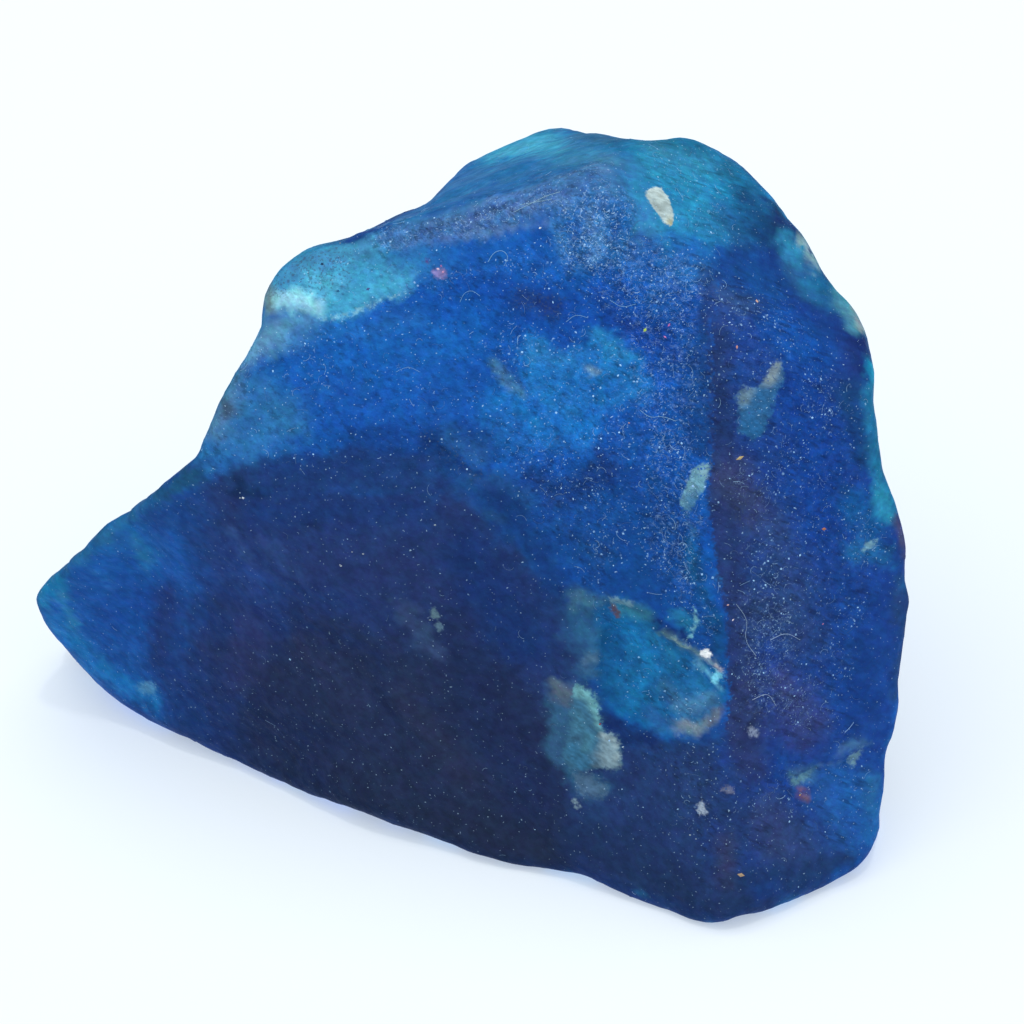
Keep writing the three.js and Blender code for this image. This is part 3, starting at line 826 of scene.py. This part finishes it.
class Tree:
    """A small helper to write a material's nodes as expressions."""

    def __init__(self, name):
        self.material = bpy.data.materials.new(name)
        self.material.use_nodes = True
        self.nodes = self.material.node_tree.nodes
        self.links = self.material.node_tree.links
        self.shader = self.nodes["Principled BSDF"]
        self.place = self.node("ShaderNodeTexCoord").outputs["Object"]

    def node(self, kind, inputs=None, **settings):
        made = self.nodes.new(kind)
        for key, value in settings.items():
            setattr(made, key, value)
        for key, value in (inputs or {}).items():
            self.plug(made.inputs[key], value)
        return made

    def plug(self, socket, value):
        if isinstance(value, bpy.types.NodeSocket):
            self.links.new(value, socket)
        else:
            socket.default_value = value

    def math(self, operation, a, b=0.0, c=0.0):
        return self.node("ShaderNodeMath", {0: a, 1: b, 2: c}, operation=operation).outputs[0]

    def times(self, a, b):
        return self.math("MULTIPLY", a, b)

    def attribute(self, name, output="Color"):
        return self.node("ShaderNodeAttribute", attribute_name=name).outputs[output]

    def noise(self, length, detail=2.0, seed=0, roughness=0.55, place=None):
        """Noise from 0 to 1 whose bumps are length mm across."""
        scale = 1 / (length * MM)
        shift = (seed * 7.1, seed * 3.3, seed * -5.9)
        spot = self.node(
            "ShaderNodeVectorMath",
            {0: place or self.place, 1: (scale,) * 3, 2: shift},
            operation="MULTIPLY_ADD",
        )
        inputs = {"Vector": spot.outputs[0], "Scale": 1.0, "Detail": detail, "Roughness": roughness}
        return self.node("ShaderNodeTexNoise", inputs).outputs["Fac"]

    def step(self, value, start, end, low=0.0, high=1.0, kind="SMOOTHSTEP"):
        """A smooth step from low to high as value goes from start to end."""
        inputs = {"Value": value, "From Min": start, "From Max": end, "To Min": low, "To Max": high}
        return self.node("ShaderNodeMapRange", inputs, interpolation_type=kind).outputs[0]

    def mix(self, share, a, b, blend="MIX"):
        made = self.node("ShaderNodeMix", data_type="RGBA", blend_type=blend)
        self.plug(made.inputs["Factor"], share)
        self.plug(made.inputs[6], (*a, 1) if isinstance(a, tuple) else a)
        self.plug(made.inputs[7], (*b, 1) if isinstance(b, tuple) else b)
        return made.outputs[2]

    def scaled(self, colour, amount):
        inputs = {0: colour, 3: amount}
        return self.node("ShaderNodeVectorMath", inputs, operation="SCALE").outputs[0]

    def bump(self, height, distance, normal=None, strength=1.0):
        inputs = {"Height": height, "Distance": distance * MM, "Strength": strength}
        if normal:
            inputs["Normal"] = normal
        return self.node("ShaderNodeBump", inputs).outputs[0]


GRAIN_WAY = (0.8, 0.2, -0.56)
# Grime, and the frost's smudges, squiggles and specks: their colours, as light. The smudges and
# squiggles are dust with painted glints.
GRIME, DUST_AND_GLINT_SMUDGE = (0.03, 0.05, 0.09), (0.16, 0.26, 0.46)
DUST_AND_GLINT_SQUIGGLE, SPECK = (0.30, 0.48, 0.72), (0.36, 0.54, 0.70)
STONE_SPECULAR, DUST_SPECULAR = 0.12, 0.2


def along_grain(tree, shrink):
    """The place, shrunk along the grain so that spots there become short dashes."""
    inputs = {0: tree.place, 1: GRAIN_WAY}
    dot = tree.node("ShaderNodeVectorMath", inputs, operation="DOT_PRODUCT")
    amount = tree.times(dot.outputs["Value"], shrink - 1)
    inputs = {0: tree.place, 1: tree.scaled(GRAIN_WAY, amount)}
    return tree.node("ShaderNodeVectorMath", inputs, operation="ADD").outputs[0]


def stone_material():
    tree = Tree("blue stone")
    grain_place = along_grain(tree, 0.4)
    cloud = tree.noise(1.6, 2, 1)
    blotch = tree.noise(0.62, 2, 2, 0.5)
    mottle = tree.noise(0.36, 2, 16, 0.5, grain_place)
    grain = tree.noise(0.19, 1, 3, 0.5, grain_place)
    fine = tree.noise(0.085, 0, 4)
    frost = tree.attribute("frost", "Fac")
    # the painted colour, strayed across its edges
    uneven = tree.math("SUBTRACT", tree.noise(0.3, 3, 14, 0.6), 0.5)
    side = tree.math("MULTIPLY_ADD", uneven, 6.0, tree.attribute("side", "Fac"))
    side = tree.step(side, -1, 1)
    strays = tree.step(tree.noise(0.7, 3, 15, 0.55), 0.42, 0.58)
    near = tree.mix(strays, tree.attribute("paint"), tree.attribute("stray_paint"))
    far = tree.mix(strays, tree.attribute("side_paint"), tree.attribute("stray_side_paint"))
    colour = tree.mix(side, near, far)
    # a little warmer and greener in clouds and in blotches
    for clouds, warm, green in (
        (tree.noise(0.9, 2, 11), (1.03, 0.95, 1.0), (0.96, 1.06, 1.0)),
        (tree.noise(0.28, 2, 19), (1.0, 0.94, 0.99), (1.0, 1.07, 1.01)),
    ):
        tint = tree.mix(tree.step(clouds, 0.36, 0.64), warm, green)
        colour = tree.mix(1.0, colour, tint, "MULTIPLY")
    # lighter and darker in clouds, blotches, spots and short dashes
    brightness = tree.step(cloud, 0.3, 0.7, 0.9, 1.1)
    brightness = tree.times(brightness, tree.step(blotch, 0.3, 0.7, 0.91, 1.1))
    for spots, amount, base in ((mottle, 0.13, 0.6), (grain, 0.18, 0.2), (fine, 0.12, 0.0)):
        signed = tree.step(spots, 0.3, 0.7, -amount, amount)
        share = tree.math("MULTIPLY_ADD", frost, 0.9, base)
        brightness = tree.times(brightness, tree.math("MULTIPLY_ADD", signed, share, 1.0))
    dashes = tree.noise(0.34, 2, 20, 0.6, along_grain(tree, 0.22))
    darker = tree.step(frost, 0.0, 0.3, -0.1, -0.32)
    dashes = tree.math("MULTIPLY_ADD", tree.step(dashes, 0.54, 0.68), darker, 1.0)
    colour = tree.scaled(colour, tree.times(brightness, dashes))
    # marks with crisp, ragged edges
    ragged = tree.math("SUBTRACT", tree.noise(0.2, 3, 6, 0.6), 0.5)
    edge = tree.math("MULTIPLY_ADD", ragged, 1.6, tree.attribute("mark_gap", "Fac"))
    mark = tree.times(tree.step(edge, 0.4, -0.4), tree.attribute("mark_share", "Fac"))
    uneven = tree.step(mottle, 0.3, 0.7, 0.84, 1.14)
    uneven = tree.times(uneven, tree.step(grain, 0.3, 0.7, 0.84, 1.16))
    colour = tree.mix(mark, colour, tree.scaled(tree.attribute("mark"), uneven))
    # dark dots of grime
    dots = tree.step(tree.noise(0.14, 1, 9, 0.6), 0.56, 0.64, 0.0, 0.6)
    colour = tree.mix(tree.times(dots, tree.attribute("grime", "Fac")), colour, GRIME)
    # frost: pale smudges and short squiggles, dust with painted glints, and specks of dust
    dust_and_glint_smudge = tree.step(tree.noise(0.24, 2, 17, 0.55), 0.56, 0.7, 0.0, 0.35)
    dust_and_glint_smudge = tree.times(dust_and_glint_smudge, tree.step(frost, 0.3, 1.1, 0, 1))
    colour = tree.mix(dust_and_glint_smudge, colour, tree.mix(0.8, colour, DUST_AND_GLINT_SMUDGE, "SCREEN"))
    squiggle = tree.noise(0.3, 1, 13, 0.5)
    thin = tree.math("ABSOLUTE", tree.math("SUBTRACT", squiggle, 0.5))
    broken = tree.step(tree.noise(0.28, 1, 18, 0.5), 0.5, 0.56)
    dust_and_glint_lines = tree.times(tree.step(thin, 0.024, 0.006), tree.step(frost, 0.5, 1.2, 0, 0.7))
    colour = tree.mix(tree.times(dust_and_glint_lines, broken), colour, DUST_AND_GLINT_SQUIGGLE)
    specks = tree.noise(0.1, 0, 5)
    rare = tree.math("MULTIPLY_ADD", frost, -0.06, 0.8)
    pale = tree.step(tree.math("SUBTRACT", specks, rare), 0.0, 0.05, 0.0, 0.5)
    colour = tree.mix(pale, colour, SPECK)
    shader = tree.shader
    tree.plug(shader.inputs["Base Color"], colour)
    gloss = tree.times(tree.step(blotch, 0.42, 0.6), tree.step(frost, 0.2, 1.0, 0.2, 1.0))
    tree.plug(shader.inputs["Roughness"], tree.step(gloss, 0.0, 1.0, 0.8, 0.25, "LINEAR"))
    tree.plug(shader.inputs["Specular IOR Level"], STONE_SPECULAR)
    sharp = tree.math("MINIMUM", tree.math("MULTIPLY_ADD", frost, 0.9, 0.12), 1.0)
    coarse = tree.bump(tree.noise(0.6, 3, 8, 0.55), 0.13)
    rough = tree.bump(grain, 0.06, coarse, sharp)
    tree.plug(shader.inputs["Normal"], tree.bump(fine, 0.04, rough, sharp))
    return tree.material


def dust_material(name, roughness):
    """A dull material whose colour is the one painted on each grain or hair."""
    tree = Tree(name)
    tree.plug(tree.shader.inputs["Base Color"], tree.attribute("tint"))
    tree.plug(tree.shader.inputs["Roughness"], roughness)
    tree.plug(tree.shader.inputs["Specular IOR Level"], DUST_SPECULAR)
    return tree.material


# ---- Dust, flecks and hairs ------------------------------------------------------------

DUST_SEED = 17
DUST_GRAINS, LINT_HAIRS = 9000, 2400
# Half lengths of grains, lengths of hairs and their radii: the least, and how much more the
# most is; and how thick grains and flecks are. All in mm.
GRAIN_LEAST, GRAIN_MORE, GRAIN_THICK, FLECK_THICK = 0.024, 0.066, 0.012, 0.03
HAIR_LEAST, HAIR_MORE, HAIR_STEPS = 0.15, 0.75, 8
RADIUS_LEAST, RADIUS_MORE = 0.008, 0.009
DUST_WHITE = np.array([0.34, 0.58, 0.84])

# Single flecks on the front: place in the frame, half length and width in mm, turn in
# degrees, and colour.
FLECKS = [
    (645, 330, 0.13, 0.09, 60, "#b0ce60"),
    (669, 325, 0.11, 0.06, 60, "#cd78be"),
    (665, 337, 0.11, 0.05, -30, "#cd82be"),
    (823, 624, 0.07, 0.04, 10, "#be7896"),
    (438, 269, 0.1, 0.07, 0, "#d8bed6"),
    (443, 272, 0.1, 0.07, 50, "#c496be"),
    (441, 266, 0.08, 0.06, 90, "#a06ea0"),
    (368, 289, 0.12, 0.08, 30, "#4a6096"),
    (338, 291, 0.1, 0.07, 0, "#28608c"),
    (322, 264, 0.1, 0.08, 20, "#224264"),
    (757, 301, 0.13, 0.09, 30, "#d6b0a0"),
    (737, 347, 0.12, 0.06, 80, "#cd968c"),
    (629, 423, 0.06, 0.04, 10, "#d29664"),
    (824, 529, 0.17, 0.09, -20, "#b07454"),
    (800, 795, 0.08, 0.05, 20, "#be9664"),
    (740, 458, 0.24, 0.09, 20, "#bea878"),
    (340, 243, 0.09, 0.04, 10, "#b4a078"),
    (741, 875, 0.28, 0.11, -32, "#ac9478"),
    (243, 498, 0.1, 0.08, 20, "#bec8d2"),
    (341, 566, 0.09, 0.06, 40, "#96a0ac"),
    (363, 554, 0.08, 0.06, 10, "#96a0ac"),
    (623, 747, 0.09, 0.06, 10, "#a0b4c4"),
    (733, 620, 0.09, 0.06, 30, "#d2c8d2"),
    (728, 605, 0.08, 0.06, 0, "#c8a0a0"),
    (540, 228, 0.09, 0.06, 30, "#dce8ee"),
    (690, 835, 0.06, 0.05, 0, "#a0b0b8"),
    (696, 839, 0.05, 0.04, 0, "#96a8b4"),
    (600, 724, 0.1, 0.06, 40, "#963c38"),
    # a painted glint at the chip's right corner, laid on as a pale fleck
    (705, 652, 0.13, 0.09, 20, "#e2ecf0"),
    (435, 525, 0.08, 0.05, 15, "#96a4b0"),
    (340, 565, 0.07, 0.05, 40, "#8c96a6"),
    (352, 552, 0.05, 0.04, 0, "#96a0aa"),
    (240, 498, 0.07, 0.04, 70, "#aab8be"),
    (430, 620, 0.07, 0.04, 20, "#8ca0a0"),
]

# Hairs on the front: the places that each runs through, radius in mm, and colour.
HAIRS = [
    ("488,262 494,252 503,250 509,257 504,266", 0.016, "#78aad7"),
    ("460,302 464,293 472,290 480,296", 0.014, "#6ea0d2"),
    ("640,410 650,418 662,416 676,421", 0.015, "#78a5cd"),
    ("514,212 530,204 546,196 560,192", 0.014, "#96bed7"),
    ("520,205 536,202 552,199", 0.012, "#96bed7"),
    ("736,604 748,620 744,640 756,656", 0.018, "#8ca5c3"),
    ("770,640 786,632 800,640", 0.018, "#829bbe"),
    ("752,700 768,692 776,706", 0.016, "#8ca0be"),
    ("610,300 622,308 636,304", 0.012, "#78aad7"),
    ("566,322 576,314 588,318", 0.012, "#78aad7"),
    ("396,372 408,366 420,372", 0.012, "#6ea0d2"),
]


def tangents(normal, turn):
    """Two directions along the surface, turned by an angle."""
    side = np.cross(normal, (0.0, 0.0, 1.0) if abs(normal[2]) < 0.9 else (1.0, 0.0, 0.0))
    side = side / np.linalg.norm(side)
    other = np.cross(normal, side)
    return side * math.cos(turn) + other * math.sin(turn), other * math.cos(turn) - side * math.sin(turn)


def under_pixel(surface, across, down):
    """The point of the surface that is seen at a place of the frame, and its normal."""
    right = (across - FRAME_PIXELS / 2) * PIXEL
    up = (FRAME_PIXELS / 2 - down) * PIXEL
    way = Vector(MIDDLE + VIEW_RIGHT * right + VIEW_UP * up - EYE)
    place, normal, _, _ = surface.ray_cast(Vector(EYE), way.normalized())
    return (np.array(place), np.array(normal)) if place else (None, None)


def rounded_path(path):
    """The path with its corners cut twice, so that it runs in a smooth curve."""
    path = np.array(path)
    for _ in range(2):
        cut = [path[:-1] * 0.75 + path[1:] * 0.25, path[:-1] * 0.25 + path[1:] * 0.75]
        path = np.concatenate([path[:1], np.stack(cut, axis=1).reshape(-1, 2), path[-1:]])
    return path


def fleck_mesh(place, normal, long, wide, turn, thick):
    """A flat eight-sided grain that lies on the surface."""
    along, aside = tangents(normal, turn)
    offsets = (along * long, aside * wide, -along * long, -aside * wide)
    corners = [place + offset for offset in offsets]
    corners += [place + normal * thick, place - normal * thick]
    faces = []
    for i in range(4):
        faces += [(i, (i + 1) % 4, 4), ((i + 1) % 4, i, 5)]
    return corners, faces


def tube_mesh(path, radius):
    """A thin three-sided tube with closed ends along a path."""
    corners = []
    for i, spot in enumerate(path):
        way = path[min(i + 1, len(path) - 1)] - path[max(i - 1, 0)]
        side, other = tangents(way / np.linalg.norm(way), 0)
        for j in range(3):
            turn = 2 * math.pi * j / 3
            corners.append(spot + (side * math.cos(turn) + other * math.sin(turn)) * radius)
    faces = [(0, 2, 1), (len(corners) - 3, len(corners) - 2, len(corners) - 1)]
    for i in range(len(path) - 1):
        for j in range(3):
            a, b = 3 * i + j, 3 * i + (j + 1) % 3
            faces += [(a, b, b + 3), (a, b + 3, a + 3)]
    return corners, faces


class Pile:
    """Many small bodies gathered into one mesh, each with its own colour."""

    def __init__(self):
        self.corners, self.faces, self.tints = [], [], []

    def add(self, body, tint):
        corners, faces = body
        start = len(self.corners)
        self.corners += corners
        self.faces += [tuple(start + i for i in face) for face in faces]
        self.tints += [tint] * len(corners)

    def make(self, name, roughness):
        material = dust_material(name.replace("_", " "), roughness)
        corners = np.array(self.corners)
        piece = make_mesh(name, corners, np.array(self.faces), material, flat=True)
        add_attribute(piece.data, "tint", np.array(self.tints))


def scattered(rng, count, points, triangles, frost, least):
    """Random places on the surface, closer together where it is dusty."""
    a, b, c = (points[triangles[:, i]] for i in range(3))
    cross = np.cross(b - a, c - a)
    area = np.linalg.norm(cross, axis=1)
    patchy = 0.15 + smooth_step(fractal(a, 2.6, 3, 31), -0.1, 0.4) ** 2
    weight = area * (least + frost[triangles].mean(axis=1)) * patchy * (a[:, 2] > 0.3)
    chosen = rng.choice(len(triangles), count, p=weight / weight.sum())
    shares = rng.dirichlet((1, 1, 1), count)
    places = (points[triangles[chosen]] * shares[:, :, None]).sum(axis=1)
    return places, cross[chosen] / area[chosen, None], triangles[chosen, 0]


def dusty(albedo, share):
    return albedo + (DUST_WHITE - albedo) * share


def hair_path(rng, surface, place, normal, radius):
    """A curly path along the surface."""
    length = HAIR_LEAST + HAIR_MORE * rng.random() ** 2
    curl = (rng.random() - 0.5) * 7 / length
    step = length / HAIR_STEPS
    path = [place + normal * radius]
    way = tangents(normal, rng.random() * 2 * math.pi)[0]
    for _ in range(HAIR_STEPS - 1):
        way = way * math.cos(curl * step) + np.cross(normal, way) * math.sin(curl * step)
        found, facing, _, _ = surface.find_nearest(Vector(path[-1] + way * step))
        normal = np.array(facing)
        way = way - normal * (way @ normal)
        way = way / np.linalg.norm(way)
        path.append(np.array(found) + normal * radius)
    return path


def add_dust(points, triangles, frost, albedo):
    rng = np.random.default_rng(DUST_SEED)
    surface = BVHTree.FromPolygons(points.tolist(), triangles.tolist())
    grains, hairs = Pile(), Pile()
    for place, normal, nearest in zip(*scattered(rng, DUST_GRAINS, points, triangles, frost, 0.01)):
        long = GRAIN_LEAST + GRAIN_MORE * rng.random() ** 3
        wide = long * (0.5 + 0.5 * rng.random())
        body = fleck_mesh(place, normal, long, wide, rng.random() * math.pi, GRAIN_THICK)
        grains.add(body, dusty(albedo[nearest], 0.05 + 0.75 * rng.random() ** 4))
    for place, normal, nearest in zip(*scattered(rng, LINT_HAIRS, points, triangles, frost, 0.03)):
        radius = RADIUS_LEAST + RADIUS_MORE * rng.random()
        path = hair_path(rng, surface, place, normal, radius)
        hairs.add(tube_mesh(path, radius), dusty(albedo[nearest], 0.06 + 0.42 * rng.random() ** 2))
    for across, down, long, wide, turn, colour in FLECKS:
        place, normal = under_pixel(surface, across, down)
        tint = as_albedo(linear(colour)[None], normal[None])[0]
        grains.add(fleck_mesh(place, normal, long, wide, math.radians(turn), FLECK_THICK), tint)
    for pixels, radius, colour in HAIRS:
        path = []
        for across, down in rounded_path(places(pixels)):
            place, normal = under_pixel(surface, across, down)
            path.append(place + normal * radius)
        hairs.add(tube_mesh(path, radius), as_albedo(linear(colour)[None], normal[None])[0])
    grains.make("dust_grains", 0.8)
    hairs.make("lint_hairs", 0.7)


# ---- Camera, floor and light -----------------------------------------------------------

SENSOR = 36.0
FLOOR_HALF = 1.5
FLOOR_COLOUR = (0.37, 0.39, 0.40)
FLOOR_GLOW = (0.37, 0.43, 0.50)
FLOOR_ROUGHNESS = 0.8
# Each lamp: its heading, how high it stands, its strength and how widely it spreads.
LAMPS = {
    "soft box": (-14, 74, 3.4, 90),
    "small lamp": (12, 74, 0.6, 4),
}
ROOM_COLOUR = (0.96, 0.99, 1.0)
ROOM_STRENGTH = 0.36


def aimed(way):
    """The turn of a camera or a lamp that points a way."""
    return Vector(way).to_track_quat("-Z", "Y").to_euler()


def add_camera():
    data = bpy.data.cameras.new("camera")
    data.sensor_width = SENSOR
    data.lens = SENSOR * EYE_DISTANCE / (FRAME_PIXELS * PIXEL)
    data.clip_start = 0.01
    camera = placed("camera", data)
    camera.location = Vector((EYE - BOX_MIDDLE) * MM)
    camera.rotation_euler = aimed(-TOWARDS_EYE)
    bpy.context.scene.camera = camera


def add_floor():
    mesh = bpy.data.meshes.new("floor")
    corners = [(-1, -1), (1, -1), (1, 1), (-1, 1)]
    mesh.from_pydata([(x * FLOOR_HALF, y * FLOOR_HALF, 0) for x, y in corners], [], [(0, 1, 2, 3)])
    bench = bpy.data.materials.new("white bench")
    bench.use_nodes = True
    sockets = bench.node_tree.nodes["Principled BSDF"].inputs
    sockets["Base Color"].default_value = (*FLOOR_COLOUR, 1)
    sockets["Roughness"].default_value = FLOOR_ROUGHNESS
    sockets["Emission Color"].default_value = (*FLOOR_GLOW, 1)
    sockets["Emission Strength"].default_value = 1.0
    mesh.materials.append(bench)
    floor = placed("floor", mesh)


def add_lights():
    for name, (heading, height, energy, spread) in LAMPS.items():
        data = bpy.data.lights.new(name, "SUN")
        data.energy = energy
        data.angle = math.radians(spread)
        placed(name, data).rotation_euler = aimed(-outward(heading, height))
    world = bpy.data.worlds.new("white room")
    world.use_nodes = True
    background = world.node_tree.nodes["Background"]
    background.inputs["Color"].default_value = (*ROOM_COLOUR, 1)
    background.inputs["Strength"].default_value = ROOM_STRENGTH
    bpy.context.scene.world = world
    bpy.context.scene.view_settings.view_transform = "Standard"


# ---- The scene -------------------------------------------------------------------------

add_dust(*add_stone())
add_camera()
add_floor()
add_lights()
